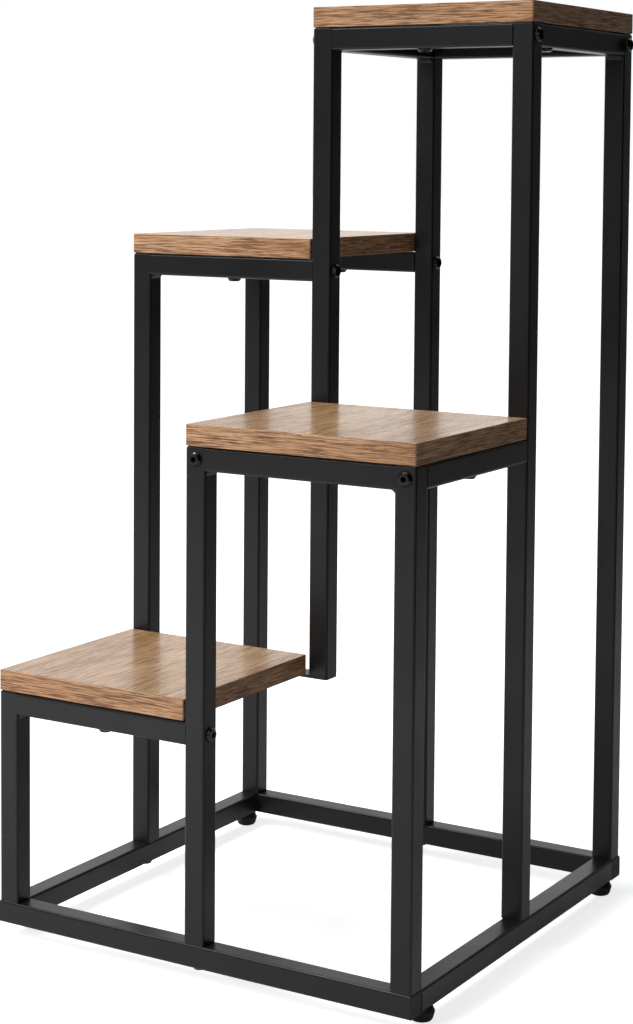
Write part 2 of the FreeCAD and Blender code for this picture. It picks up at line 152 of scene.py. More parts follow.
# Stage: softboxes, dark screens, the floor and its glow, and the camera's sensor in millimetres
LIGHTS = {
    "Key": {"place": (-1.6, -3.2, 3.2), "target": (0.0, -0.1, 0.45), "size": 2.9, "reflected": False},
    "Low fill": {"place": (-0.8, -1.2, 0.15), "target": (-0.1, -0.2, 0.2), "size": 0.6,
                 "reflected": False},
    "Top": {"place": (-1.3, -0.4, 2.8), "target": (0.0, 0.0, 0.4), "size": 1.2, "reflected": True},
}
SCREENS = {
    "Right screen": ((1.35, -1.0, 0.0), (1.35, 6.0, 0.0), (1.35, 6.0, 4.5), (1.35, -1.0, 4.5)),
    "Front screen": ((-8.0, -3.4, 0.0), (3.0, -3.4, 0.0), (3.0, -3.4, 0.8), (-1.7, -3.4, 0.8),
                     (-2.3, -3.4, 2.8), (-8.0, -3.4, 2.8)),
}
FLOOR_REACH = 30.0
FLOOR_ROUGHNESS = 0.9
FLOOR_SPECULAR = 0.5
GLOW_RADII = (0.5, 1.5)
GLOW_LEVELS = (0.78, 1.0)
SHEEN_SPAN = (-0.15, 0.45)
SHEEN_LEVELS = (0.26, 0.10)
FAR_RADII = (4.0, 7.0)
FAR_LEVELS = (0.0, 1.0)
SENSOR_HEIGHT = 24.0


class StandFrameSettings(bpy.types.PropertyGroup):
    """Sizes of the drawn tubes, caps and plate."""

    tube_corner: bpy.props.FloatProperty(
        name="Tube corner", description="Outer corner radius of the square tube",
        default=2.2 * MM, min=0.0, unit="LENGTH")
    tube_wall: bpy.props.FloatProperty(
        name="Tube wall", description="Wall thickness of the square tube",
        default=1.2 * MM, min=0.0, unit="LENGTH")
    tube_segments: bpy.props.IntProperty(
        name="Corner segments", description="Facets round each tube corner", default=5, min=1)
    end_bite: bpy.props.FloatProperty(
        name="End bite", description="How far a tightly drawn rail end sits in the post's wall",
        default=1.0 * MM, min=0.0, unit="LENGTH")
    post_top_round: bpy.props.FloatProperty(
        name="Post top", description="Rounding of a post's upper end",
        default=1.0 * MM, min=0.0, unit="LENGTH")
    cap_flange: bpy.props.FloatProperty(
        name="Cap flange", description="Height of a post cap's flange",
        default=1.0 * MM, min=0.0, unit="LENGTH")
    cap_inset: bpy.props.FloatProperty(
        name="Cap inset", description="Step from a post's side to its cap's flange",
        default=1.1 * MM, min=0.0, unit="LENGTH")
    cap_plug_inset: bpy.props.FloatProperty(
        name="Cap plug inset", description="Step from a post's side to its cap's plug",
        default=1.3 * MM, min=0.0, unit="LENGTH")
    plate_corner: bpy.props.FloatProperty(
        name="Plate corner", description="Radius of the centre plate's corners",
        default=2.6 * MM, min=0.0, unit="LENGTH")
    plate_edge: bpy.props.FloatProperty(
        name="Plate edge", description="Rounding of the centre plate's edges",
        default=0.35 * MM, min=0.0, unit="LENGTH")


class StandBoardSettings(bpy.types.PropertyGroup):
    """Sizes of the boards' edges."""

    band_thickness: bpy.props.FloatProperty(
        name="Band thickness", description="Thickness of the edge band",
        default=1.0 * MM, min=0.0, unit="LENGTH")
    band_corner: bpy.props.FloatProperty(
        name="Band corner", description="Radius of the upright corners",
        default=1.6 * MM, min=0.0, unit="LENGTH")
    band_round: bpy.props.FloatProperty(
        name="Band arris", description="Rounding of the long edges",
        default=0.6 * MM, min=0.0, unit="LENGTH")
    seam: bpy.props.FloatProperty(
        name="Seam", description="Fine chamfer where the face meets the band",
        default=0.12 * MM, min=0.0, unit="LENGTH")


class StandFastenerSettings(bpy.types.PropertyGroup):
    """Sizes of bolts, screws and feet."""

    head_radius: bpy.props.FloatProperty(
        name="Head radius", description="Outer radius of a bolt head",
        default=6.5 * MM, min=0.0, unit="LENGTH")
    head_height: bpy.props.FloatProperty(
        name="Head height", description="Height of a bolt head",
        default=3.3 * MM, min=0.0, unit="LENGTH")
    shank_radius: bpy.props.FloatProperty(
        name="Shank radius", description="Radius of bolts and studs",
        default=3.0 * MM, min=0.0, unit="LENGTH")
    tip_chamfer: bpy.props.FloatProperty(
        name="Tip chamfer", description="Chamfer at the tip of a bolt",
        default=0.6 * MM, min=0.0, unit="LENGTH")
    socket_flats: bpy.props.FloatProperty(
        name="Socket", description="Hex socket across flats",
        default=4.0 * MM, min=0.0, unit="LENGTH")
    socket_depth: bpy.props.FloatProperty(
        name="Socket depth", description="Depth of the hex socket's flats",
        default=2.0 * MM, min=0.0, unit="LENGTH")
    socket_point: bpy.props.FloatProperty(
        name="Socket point", description="Depth of the drill point below the flats",
        default=0.3 * MM, min=0.0, unit="LENGTH")
    socket_chamfer: bpy.props.FloatProperty(
        name="Socket chamfer", description="Chamfer round the socket's mouth",
        default=0.25 * MM, min=0.0, unit="LENGTH")
    thread_pitch: bpy.props.FloatProperty(
        name="Thread pitch", description="Rise of a stud's thread in one turn",
        default=1.0 * MM, min=0.1 * MM, unit="LENGTH")
    thread_depth: bpy.props.FloatProperty(
        name="Thread depth", description="Height of a stud's thread from root to crest",
        default=0.55 * MM, min=0.0, unit="LENGTH")
    around: bpy.props.IntProperty(
        name="Facets round", description="Facets round a turned piece", default=48, min=12)
    thread_around: bpy.props.IntProperty(
        name="Thread facets", description="Facets in one turn of a thread", default=24, min=12)


class StandFinishSettings(bpy.types.PropertyGroup):
    """Colours of the finishes; the first four are named for their material slots."""

    black_frame: bpy.props.FloatVectorProperty(
        name="Powder coat", description="Colour of the tubes, the plate and the welds",
        default=(0.0088, 0.0088, 0.0098, 1.0), size=4, min=0.0, max=1.0, subtype="COLOR")
    black_bolt: bpy.props.FloatVectorProperty(
        name="Blackened bolts", description="Colour of the bolts and screws",
        default=(0.004, 0.004, 0.0045, 1.0), size=4, min=0.0, max=1.0, subtype="COLOR")
    black_plastic: bpy.props.FloatVectorProperty(
        name="Black plastic", description="Colour of the caps, plugs and foot pads",
        default=(0.010, 0.010, 0.010, 1.0), size=4, min=0.0, max=1.0, subtype="COLOR")
    plated_steel: bpy.props.FloatVectorProperty(
        name="Plated steel", description="Colour of the studs and the inner nuts",
        default=(0.13, 0.13, 0.125, 1.0), size=4, min=0.0, max=1.0, subtype="COLOR")
    wood_deep: bpy.props.FloatVectorProperty(
        name="Wood, deep", description="Darkest band of the wood print",
        default=(0.372, 0.199, 0.097, 1.0), size=4, min=0.0, max=1.0, subtype="COLOR")
    wood_brown: bpy.props.FloatVectorProperty(
        name="Wood, brown", description="Brown band of the wood print",
        default=(0.455, 0.258, 0.134, 1.0), size=4, min=0.0, max=1.0, subtype="COLOR")
    wood_tan: bpy.props.FloatVectorProperty(
        name="Wood, tan", description="Tan band of the wood print",
        default=(0.520, 0.310, 0.171, 1.0), size=4, min=0.0, max=1.0, subtype="COLOR")
    wood_pale: bpy.props.FloatVectorProperty(
        name="Wood, pale", description="Palest band of the wood print",
        default=(0.580, 0.356, 0.206, 1.0), size=4, min=0.0, max=1.0, subtype="COLOR")
    wood_pore: bpy.props.FloatVectorProperty(
        name="Wood, pores", description="Short dark dashes of the wood print",
        default=(0.130, 0.060, 0.038, 1.0), size=4, min=0.0, max=1.0, subtype="COLOR")


class StandStageSettings(bpy.types.PropertyGroup):
    """Camera, light and the stage's own colours."""

    camera_place: bpy.props.FloatVectorProperty(
        name="Camera", description="Camera position in the stand's frame",
        default=(1.0287, -1.7324, 0.7131), subtype="XYZ")
    camera_yaw: bpy.props.FloatProperty(
        name="Yaw", description="Turn of the view to the left of the depth axis",
        default=0.5532, subtype="ANGLE")
    camera_pitch: bpy.props.FloatProperty(
        name="Pitch", description="Tilt of the view below the horizon", default=0.0648, subtype="ANGLE")
    camera_roll: bpy.props.FloatProperty(
        name="Roll", description="Turn about the line of sight", default=0.0068, subtype="ANGLE")
    focal: bpy.props.FloatProperty(
        name="Focal ratio", description="Focal length over the picture's height", default=2.1268)
    shift: bpy.props.FloatVectorProperty(
        name="Shift", description="Lens shift right and up, as shares of the picture's height",
        default=(0.02904, -0.21143), size=2)
    key_power: bpy.props.FloatProperty(
        name="Key light", description="Power of the large light at the front left",
        default=124.0, min=0.0, unit="POWER")
    fill_power: bpy.props.FloatProperty(
        name="Low fill", description="Power of the small light near the floor at the left",
        default=6.5, min=0.0, unit="POWER")
    top_power: bpy.props.FloatProperty(
        name="Top light", description="Power of the light above the left side",
        default=57.0, min=0.0, unit="POWER")
    ambient: bpy.props.FloatProperty(
        name="Ambient", description="Strength of the surroundings for diffuse light",
        default=0.13, min=0.0)
    floor_colour: bpy.props.FloatVectorProperty(
        name="Floor", description="Colour of the floor under the lights",
        default=(0.8, 0.8, 0.8, 1.0), size=4, min=0.0, max=1.0, subtype="COLOR")
    screen_colour: bpy.props.FloatVectorProperty(
        name="Screens", description="Colour of the dark screens",
        default=(0.01, 0.01, 0.01, 1.0), size=4, min=0.0, max=1.0, subtype="COLOR")


# Meshes

def piece_from(bm, name, slot, body, node, limit=SMOOTH_LIMIT):
    """Turn a finished bmesh into a piece that stands for a node, with normals set by its large faces."""
    bmesh.ops.recalc_face_normals(bm, faces=bm.faces[:])
    mesh = bpy.data.meshes.new(name)
    bm.to_mesh(mesh)
    bm.free()
    harden_normals(mesh, math.radians(limit))
    piece = bpy.data.objects.new(name, mesh)
    bpy.context.scene.collection.objects.link(piece)
    piece.data.materials.append(finish(slot))
    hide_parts(node)
    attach(piece, body)


def harden_normals(mesh, limit):
    """Weigh normals by squared face area, so that flats stay flat beside their small rounds."""
    around = [[] for vertex in mesh.vertices]
    for polygon in mesh.polygons:
        for index in polygon.vertices:
            around[index].append((polygon.normal.copy(), polygon.area ** 2))
    normals = []
    for polygon in mesh.polygons:
        own = polygon.normal
        for index in polygon.vertices:
            total = Vector()
            for normal, weight in around[index]:
                if normal.length and own.length and normal.angle(own) < limit:
                    total += normal * weight
            normals.append(total.normalized() if total.length else own)
    mesh.shade_smooth()
    mesh.normals_split_custom_set(normals)


def corners(node):
    """Lowest and highest corner of a node."""
    low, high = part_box(node)
    return Vector(low), Vector(high)


def longest(size):
    """Index of the axis along which a box is longest."""
    return max(range(3), key=lambda axis: size[axis])


def block(bm, low, high):
    """Add a box between two corners."""
    size = high - low
    matrix = Matrix.Translation((low + high) / 2) @ Matrix.Diagonal((*size, 1.0))
    bmesh.ops.create_cube(bm, size=1.0, matrix=matrix)


def edges_along(bm, axis):
    """Edges that run along one axis."""
    chosen = []
    for edge in bm.edges:
        run = edge.verts[1].co - edge.verts[0].co
        if abs(run[axis]) > ALONG_SHARE * run.length:
            chosen.append(edge)
    return chosen


def level_edges(bm):
    """Edges whose two ends are at one height."""
    return [edge for edge in bm.edges if abs(edge.verts[0].co.z - edge.verts[1].co.z) < NEAR]


def top_edges(bm):
    """Edges round the faces that look straight up."""
    bm.normal_update()
    return [edge for face in bm.faces if face.normal.z > SQUARE_SHARE for edge in face.edges]


def rounded(bm, edges, radius, segments):
    """Round some edges."""
    bmesh.ops.bevel(bm, geom=edges, offset=radius, offset_type="OFFSET", segments=segments,
                    profile=0.5, affect="EDGES", material=-1, clamp_overlap=True)


def hollowed(bm, axis, wall, far_round=0.0):
    """Open a block with rounded corners through its two end faces, and leave a wall round the bore.

    The rim at the far end is narrower by that end's own rounding.
    """
    bm.normal_update()
    square = [face for face in bm.faces if abs(face.normal[axis]) > SQUARE_SHARE]
    ends = [face for face in square if len(face.verts) > QUAD_SIDES]
    for face in ends:
        rim = wall - far_round if face.normal[axis] > 0 else wall
        bmesh.ops.inset_region(bm, faces=[face], thickness=rim, use_even_offset=True)
    rims = [edge for face in ends for edge in face.edges]
    bmesh.ops.delete(bm, geom=ends, context="FACES_ONLY")
    bmesh.ops.bridge_loops(bm, edges=rims)


def chain(bm, outline):
    """Vertices and edges of an open outline of (radius, height) points."""
    points = [bm.verts.new((radius, 0.0, height)) for radius, height in outline]
    return points + [bm.edges.new(pair) for pair in zip(points, points[1:])]


def turned(bm, outline, count):
    """Spin an outline about the Z axis, close its poles and return the new vertices."""
    before = set(bm.verts)
    bmesh.ops.spin(bm, geom=chain(bm, outline), axis=UP_AXIS, angle=math.tau, steps=count,
                   use_merge=True)
    fresh = [vertex for vertex in bm.verts if vertex not in before]
    bmesh.ops.remove_doubles(bm, verts=fresh, dist=WELD)
    return [vertex for vertex in fresh if vertex.is_valid]


def open_edges(bm):
    """Edges that have a face on one side only."""
    return [edge for edge in bm.edges if edge.is_boundary]


def aimed(place, direction):
    """Matrix that takes +Z to a direction at a place."""
    turn = Vector(UP_AXIS).rotation_difference(direction)
    return Matrix.Translation(place) @ turn.to_matrix().to_4x4()


def add_bolt(bm, sizes, place, direction, length):
    """Button head below the seat, with a bevelled rim and a hex socket, and a plain shank above it."""
    shank, tip = sizes.shank_radius, sizes.tip_chamfer
    face = -sizes.head_height
    floor = face + sizes.socket_depth
    corner = sizes.socket_flats / 2 / math.cos(math.pi / SOCKET_SIDES)
    chamfer = sizes.socket_chamfer
    head = [(sizes.head_radius * out, face * up) for out, up in HEAD_SHARES]
    stem = [(shank, 0.0), (shank, length - tip), (shank - tip, length), (0.0, length)]
    socket = [(corner + chamfer, face), (corner, face + chamfer), (corner, floor),
              (0.0, floor + sizes.socket_point)]
    bolt = turned(bm, head + stem, sizes.around) + turned(bm, socket, SOCKET_SIDES)
    bmesh.ops.bridge_loops(bm, edges=open_edges(bm))
    bmesh.ops.transform(bm, matrix=aimed(place, direction), verts=bolt)


def node_solids(name):
    """Lowest corner, highest corner and points of each separate solid of a node."""
    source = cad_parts[name]
    bm = bmesh.new()
    bm.from_mesh(source.data)
    bm.transform(source.matrix_world)
    bmesh.ops.remove_doubles(bm, verts=bm.verts[:], dist=WELD)
    seen = set()
    solids = []
    for start in bm.verts:
        if start in seen:
            continue
        seen.add(start)
        waiting = [start]
        points = []
        while waiting:
            vertex = waiting.pop()
            points.append(vertex.co.copy())
            for edge in vertex.link_edges:
                other = edge.other_vert(vertex)
                if other not in seen:
                    seen.add(other)
                    waiting.append(other)
        low = Vector([min(point[axis] for point in points) for axis in range(3)])
        high = Vector([max(point[axis] for point in points) for axis in range(3)])
        solids.append((low, high, points))
    bm.free()
    return solids


# Finishes

def group_tree(name, inputs, outputs):
    """New shader node group, its input and its output, from pairs of a socket's name and kind."""
    tree = bpy.data.node_groups.new(name, "ShaderNodeTree")
    for label, kind in inputs:
        tree.interface.new_socket(name=label, in_out="INPUT", socket_type=kind)
    for label, kind in outputs:
        tree.interface.new_socket(name=label, in_out="OUTPUT", socket_type=kind)
    start = add_node(tree, "NodeGroupInput", (-900, 0))
    end = add_node(tree, "NodeGroupOutput", (900, 0))
    return tree, start, end


def add_node(tree, kind, place, **values):
    """New node with some of its settings."""
    item = tree.nodes.new(kind)
    item.location = place
    for key, value in values.items():
        setattr(item, key, value)
    return item


def set_inputs(item, **values):
    """Set sockets by name; underscores stand for spaces."""
    for key, value in values.items():
        item.inputs[key.replace("_", " ")].default_value = value


def ramped(tree, place, value, stops):
    """Colour ramp on a value; returns its colour."""
    item = add_node(tree, "ShaderNodeValToRGB", place)
    elements = item.color_ramp.elements
    while len(elements) < len(stops):
        elements.new(0.5)
    for element, (position, colour) in zip(elements, stops):
        element.position = position
        element.color = colour
    tree.links.new(value, item.inputs["Fac"])
    return item.outputs["Color"]


def ranged(tree, place, value, limits, results):
    """Value carried from one pair of limits to another; returns the result."""
    item = add_node(tree, "ShaderNodeMapRange", place)
    set_inputs(item, From_Min=limits[0], From_Max=limits[1], To_Min=results[0], To_Max=results[1])
    tree.links.new(value, item.inputs["Value"])
    return item.outputs["Result"]


def combined(tree, place, operation, first, second):
    """Sum, product or the like of two values; returns the result."""
    item = add_node(tree, "ShaderNodeMath", place, operation=operation)
    tree.links.new(first, item.inputs[0])
    tree.links.new(second, item.inputs[1])
    return item.outputs["Value"]


def multiplied(tree, place, first, second):
    """Product of two colours; returns the result."""
    item = add_node(tree, "ShaderNodeMix", place, data_type="RGBA", blend_type="MULTIPLY")
    set_inputs(item, Factor=1.0)
    tree.links.new(first, item.inputs["A"])
    tree.links.new(second, item.inputs["B"])
    return item.outputs["Result"]


def relief_group():
    """Fine moulded or sprayed relief: a normal, and a cloudy value for the gloss."""
    name = "Fine relief"
    if name in bpy.data.node_groups:
        return bpy.data.node_groups[name]
    tree, start, end = group_tree(
        name,
        (("Vector", "NodeSocketVector"), ("Scale", "NodeSocketFloat"), ("Depth", "NodeSocketFloat")),
        (("Normal", "NodeSocketVector"), ("Cloud", "NodeSocketFloat")))
    grain = add_node(tree, "ShaderNodeTexNoise", (-500, 150))
    set_inputs(grain, **RELIEF_GRAIN)
    cloud = add_node(tree, "ShaderNodeTexNoise", (-500, -150))
    set_inputs(cloud, **RELIEF_CLOUD)
    bump = add_node(tree, "ShaderNodeBump", (200, 150))
    set_inputs(bump, Distance=RELIEF_DISTANCE)
    links = tree.links
    links.new(start.outputs["Vector"], grain.inputs["Vector"])
    links.new(start.outputs["Scale"], grain.inputs["Scale"])
    links.new(start.outputs["Vector"], cloud.inputs["Vector"])
    links.new(grain.outputs["Fac"], bump.inputs["Height"])
    links.new(start.outputs["Depth"], bump.inputs["Strength"])
    links.new(bump.outputs["Normal"], end.inputs["Normal"])
    links.new(cloud.outputs["Fac"], end.inputs["Cloud"])
    return tree


def wood_group(colours):
    """Printed wood: colour, pore mask and relief from coordinates whose X runs along the grain."""
    name = "Wood print"
    if name in bpy.data.node_groups:
        return bpy.data.node_groups[name]
    tree, start, end = group_tree(
        name,
        (("Vector", "NodeSocketVector"), ("Pores", "NodeSocketFloat"), ("Tint", "NodeSocketColor")),
        (("Color", "NodeSocketColor"), ("Pore", "NodeSocketFloat"), ("Height", "NodeSocketFloat")))
    links = tree.links
    layers = {}
    for row, (layer, values) in enumerate(GRAIN_LAYERS.items()):
        mapping = add_node(tree, "ShaderNodeMapping", (-700, 300 - 300 * row))
        set_inputs(mapping, Scale=values["repeats"])
        noise = add_node(tree, "ShaderNodeTexNoise", (-500, 300 - 300 * row))
        set_inputs(noise, Scale=1.0)
        for key in ("Detail", "Roughness", "Distortion"):
            noise.inputs[key].default_value = values[key]
        links.new(start.outputs["Vector"], mapping.inputs["Vector"])
        links.new(mapping.outputs["Vector"], noise.inputs["Vector"])
        layers[layer] = noise.outputs["Fac"]
    tones = (colours.wood_deep, colours.wood_brown, colours.wood_tan, colours.wood_pale)
    tone = ramped(tree, (-280, 300), layers["bands"], tuple(zip(TONE_PLACES, tones)))
    streak = ramped(tree, (-280, 0), layers["streaks"], STREAK_STOPS)
    ground = multiplied(tree, (50, 300), tone, streak)
    tinted = multiplied(tree, (200, 300), ground, start.outputs["Tint"])
    dense = add_node(tree, "ShaderNodeMath", (-280, -550), operation="MULTIPLY_ADD")
    dense.inputs[1].default_value = CLUMP_SHARE
    links.new(layers["clumps"], dense.inputs[0])
    links.new(layers["pores"], dense.inputs[2])
    mask = ranged(tree, (-100, -300), dense.outputs["Value"], PORE_RANGE, (0.0, 1.0))
    pore = combined(tree, (100, -300), "MULTIPLY", mask, start.outputs["Pores"])
    inked = add_node(tree, "ShaderNodeMix", (400, 200), data_type="RGBA", blend_type="MIX")
    inked.inputs["B"].default_value = colours.wood_pore
    links.new(pore, inked.inputs["Factor"])
    links.new(tinted, inked.inputs["A"])
    height = combined(tree, (300, -200), "SUBTRACT", layers["streaks"], pore)
    links.new(inked.outputs["Result"], end.inputs["Color"])
    links.new(pore, end.inputs["Pore"])
    links.new(height, end.inputs["Height"])
    return tree


def new_material(name, specular):
    """Empty material with a shader and an output."""
    material = bpy.data.materials.new(name)
    material.use_nodes = True
    tree = material.node_tree
    tree.nodes.clear()
    shader = add_node(tree, "ShaderNodeBsdfPrincipled", (300, 0))
    set_inputs(shader, Specular_IOR_Level=specular)
    output = add_node(tree, "ShaderNodeOutputMaterial", (650, 0))
    tree.links.new(shader.outputs["BSDF"], output.inputs["Surface"])
    return material, tree, shader


def relief_material(name, colour, rough, spread, scale, depth, specular, metallic=0.0):
    """Painted, plated or moulded finish with fine relief and slightly uneven gloss."""
    material, tree, shader = new_material(name, specular)
    set_inputs(shader, Base_Color=colour, Metallic=metallic)
    place = add_node(tree, "ShaderNodeTexCoord", (-900, 0))
    mapping = add_node(tree, "ShaderNodeMapping", (-700, 0))
    relief = add_node(tree, "ShaderNodeGroup", (-400, 0), node_tree=relief_group())
    set_inputs(relief, Scale=scale, Depth=depth)
    links = tree.links
    links.new(place.outputs["Object"], mapping.inputs["Vector"])
    links.new(mapping.outputs["Vector"], relief.inputs["Vector"])
    limits = (rough - spread, rough + spread)
    gloss = ranged(tree, (-100, 100), relief.outputs["Cloud"], CLOUD_RANGE, limits)
    links.new(gloss, shader.inputs["Roughness"])
    links.new(relief.outputs["Normal"], shader.inputs["Normal"])
    return material


def wood_material(name, colours, turn, rough, pores, specular, coat, tint, uv_map=None):
    """Wood-grain laminate with a clear satin face."""
    material, tree, shader = new_material(name, specular)
    set_inputs(shader, Coat_Weight=coat, Coat_Roughness=COAT_ROUGHNESS)
    links = tree.links
    mapping = add_node(tree, "ShaderNodeMapping", (-700, 0))
    set_inputs(mapping, Rotation=(0.0, 0.0, turn))
    if uv_map:
        place = add_node(tree, "ShaderNodeUVMap", (-900, 0), uv_map=uv_map)
        links.new(place.outputs["UV"], mapping.inputs["Vector"])
    else:
        place = add_node(tree, "ShaderNodeTexCoord", (-900, 0))
        links.new(place.outputs["Object"], mapping.inputs["Vector"])
    wood = add_node(tree, "ShaderNodeGroup", (-450, 0), node_tree=wood_group(colours))
    set_inputs(wood, Pores=pores, Tint=tint)
    links.new(mapping.outputs["Vector"], wood.inputs["Vector"])
    gloss = ranged(tree, (0, 100), wood.outputs["Pore"], (0.0, 1.0), (rough, rough + PORE_ROUGHNESS))
    bump = add_node(tree, "ShaderNodeBump", (0, -250))
    set_inputs(bump, Strength=WOOD_RELIEF, Distance=RELIEF_DISTANCE)
    links.new(wood.outputs["Height"], bump.inputs["Height"])
    links.new(wood.outputs["Color"], shader.inputs["Base Color"])
    links.new(gloss, shader.inputs["Roughness"])
    links.new(bump.outputs["Normal"], shader.inputs["Normal"])
    return material


def finish(slot):
    """Material of one slot, made on first use."""
    name = "Stand " + slot.replace("_", " ")
    if name in bpy.data.materials:
        return bpy.data.materials[name]
    colours = bpy.context.scene.stand_finish
    if slot in WOOD_FINISHES:
        return wood_material(name, colours, **WOOD_FINISHES[slot])
    return relief_material(name, getattr(colours, slot), **RELIEF_FINISHES[slot])


# Operators

class STAND_OT_tubes(bpy.types.Operator):
    """Draw every post and rail as a tube with rounded corners"""

    bl_idname = "stand.tubes"
    bl_label = "Posts and rails"

    def execute(self, context):
        sizes = context.scene.stand_frame
        for node in sorted(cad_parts):
            if node.startswith(TUBE_STARTS) and node != RAIL_PLUGS:
                self.draw_tube(node, sizes)
        return {"FINISHED"}

    def draw_tube(self, node, sizes):
        """Tube along the node's longest side; base side rails reach into the corners beside them."""
        low, high = corners(node)
        axis = longest(high - low)
        if node in CORNER_RAILS:
            low[axis] -= sizes.tube_corner
            high[axis] += sizes.tube_corner
        if node in TIGHT_RAILS:
            high[axis] += sizes.end_bite
        bm = bmesh.new()
        block(bm, low, high)
        rounded(bm, edges_along(bm, axis), sizes.tube_corner, sizes.tube_segments)
        top_round = sizes.post_top_round if node.startswith("post_") else 0.0
        if top_round:
            rounded(bm, top_edges(bm), top_round, SEGMENTS["post_top"])
        hollowed(bm, axis, sizes.tube_wall, top_round)
        piece_from(bm, "tube_" + node, "black_frame", BODY, node)


class STAND_OT_caps(bpy.types.Operator):
    """Draw the post caps: a rounded flange and a plug each"""

    bl_idname = "stand.caps"
    bl_label = "Post caps"

    def execute(self, context):
        sizes = context.scene.stand_frame
        solids = node_solids("post_caps")
        step = Vector((sizes.cap_inset, sizes.cap_inset, 0.0))
        plug_step = Vector((sizes.cap_plug_inset, sizes.cap_plug_inset, 0.0))
        flange = Vector((0.0, 0.0, sizes.cap_flange))
        bm = bmesh.new()
        for low, high, _ in solids:
            block(bm, Vector((low.x, low.y, high.z)) + step - flange, high - step)
        corner = sizes.tube_corner - sizes.cap_inset / 2
        rounded(bm, edges_along(bm, UP), corner, SEGMENTS["cap_corner"])
        rounded(bm, top_edges(bm), sizes.cap_flange / 2, SEGMENTS["cap_edge"])
        for low, high, _ in solids:
            block(bm, low + plug_step, high - plug_step - flange)
        piece_from(bm, "drawn_post_caps", "black_plastic", BODY, "post_caps")
        return {"FINISHED"}


class STAND_OT_plate(bpy.types.Operator):
    """Draw the plate under the centre post with rounded corners and edges"""

    bl_idname = "stand.plate"
    bl_label = "Centre plate"

    def execute(self, context):
        sizes = context.scene.stand_frame
        (low, high, points), = node_solids("centre_plate")
        post_front = min(point.y for point in points if point.x > high.x - MM)
        tongue_right = max(point.x for point in points if point.y < post_front - MM)
        outline = ((low.x, low.y), (tongue_right, low.y), (tongue_right, post_front),
                   (high.x, post_front), (high.x, high.y), (low.x, high.y))
        bm = bmesh.new()
        face = bm.faces.new([bm.verts.new((x, y, low.z)) for x, y in outline])
        grown = bmesh.ops.extrude_face_region(bm, geom=[face])["geom"]
        raised = [item for item in grown if isinstance(item, bmesh.types.BMVert)]
        bmesh.ops.translate(bm, vec=(0.0, 0.0, high.z - low.z), verts=raised)
        inner = Vector((tongue_right, post_front))
        outer = [edge for edge in edges_along(bm, UP) if (edge.verts[0].co.xy - inner).length > NEAR]
        rounded(bm, outer, sizes.plate_corner, SEGMENTS["plate_corner"])
        rounded(bm, level_edges(bm), sizes.plate_edge, SEGMENTS["plate_edge"])
        piece_from(bm, "drawn_centre_plate", "black_frame", BODY, "centre_plate")
        return {"FINISHED"}


class STAND_OT_boards(bpy.types.Operator):
    """Draw the boards and their edge bands"""

    bl_idname = "stand.boards"
    bl_label = "Shelf boards"

    def execute(self, context):
        sizes = context.scene.stand_boards
        for tier in TIERS:
            self.draw_board(tier, sizes)
            self.draw_band(tier, sizes)
        return {"FINISHED"}

    def draw_board(self, tier, sizes):
        """Faced core, with a hairline seam along its edges."""
        node = tier + "_board"
        corner = sizes.band_corner - sizes.band_thickness
        bm = bmesh.new()
        block(bm, *corners(node))
        rounded(bm, edges_along(bm, UP), corner, SEGMENTS["board_corner"])
        rounded(bm, level_edges(bm), sizes.seam, SEGMENTS["board_seam"])
        piece_from(bm, "faced_" + tier, "board_face", BODY, node, BOARD_LIMIT)

    def draw_band(self, tier, sizes):
        """Ring with rounded corners and arrises, and a map that runs along its edges."""
        node = tier + "_edge_band"
        low, high = corners(node)
        bm = bmesh.new()
        block(bm, low, high)
        rounded(bm, edges_along(bm, UP), sizes.band_corner, SEGMENTS["band_corner"])
        rounded(bm, level_edges(bm), sizes.band_round, SEGMENTS["band_edge"])
        hollowed(bm, UP, sizes.band_thickness - sizes.band_round)
        self.map_along(bm, low, high)
        piece_from(bm, "band_" + tier, "edge_band", BODY, node)

    def map_along(self, bm, low, high):
        """Lengths along each side and across it, in metres, moved apart for each side and shelf."""
        layer = bm.loops.layers.uv.new(EDGE_MAP)
        bm.normal_update()
        for face in bm.faces:
            depths = self.depths(face.calc_center_median(), low, high)
            side = depths.index(min(depths))
            is_lying = abs(face.normal.z) > LYING_SHARE
            for loop in face.loops:
                point = loop.vert.co
                along = point.x if side in SIDES_ALONG_X else point.y
                over = high.z - low.z + self.depths(point, low, high)[side]
                across = over if is_lying else point.z - low.z
                loop[layer].uv = (along + SIDE_SHIFT[0] * side + HEIGHT_SHIFT[0] * low.z,
                                  across + SIDE_SHIFT[1] * side + HEIGHT_SHIFT[1] * low.z)

    def depths(self, point, low, high):
        """Distances of a point from the front, right, back and left side."""
        return (point.y - low.y, high.x - point.x, high.y - point.y, point.x - low.x)


class STAND_OT_fasteners(bpy.types.Operator):
    """Draw bolts and screws with rimmed heads and hex sockets"""

    bl_idname = "stand.fasteners"
    bl_label = "Bolts and screws"

    def execute(self, context):
        sizes = context.scene.stand_fasteners
        past_shank = (sizes.shank_radius + sizes.head_radius) / 2
        for node in BOLT_NODES:
            bm = bmesh.new()
            for low, high, points in node_solids(node):
                axis = longest(high - low)
                centre = (low + high) / 2
                outside = [point for point in points if self.reach(point, centre, axis) > past_shank]
                head_high = sum(point[axis] for point in outside) / len(outside) > centre[axis]
                direction = Vector()
                direction[axis] = -1.0 if head_high else 1.0
                head = sizes.head_height
                seat = centre.copy()
                seat[axis] = high[axis] - head if head_high else low[axis] + head
                add_bolt(bm, sizes, seat, direction, high[axis] - low[axis] - head)
            piece_from(bm, "drawn_" + node, "black_bolt", BODY, node, BOLT_LIMIT)
        return {"FINISHED"}

    def reach(self, point, centre, axis):
        """Distance of a point from the bolt's axis."""
        offset = point - centre
        offset[axis] = 0.0
        return offset.length


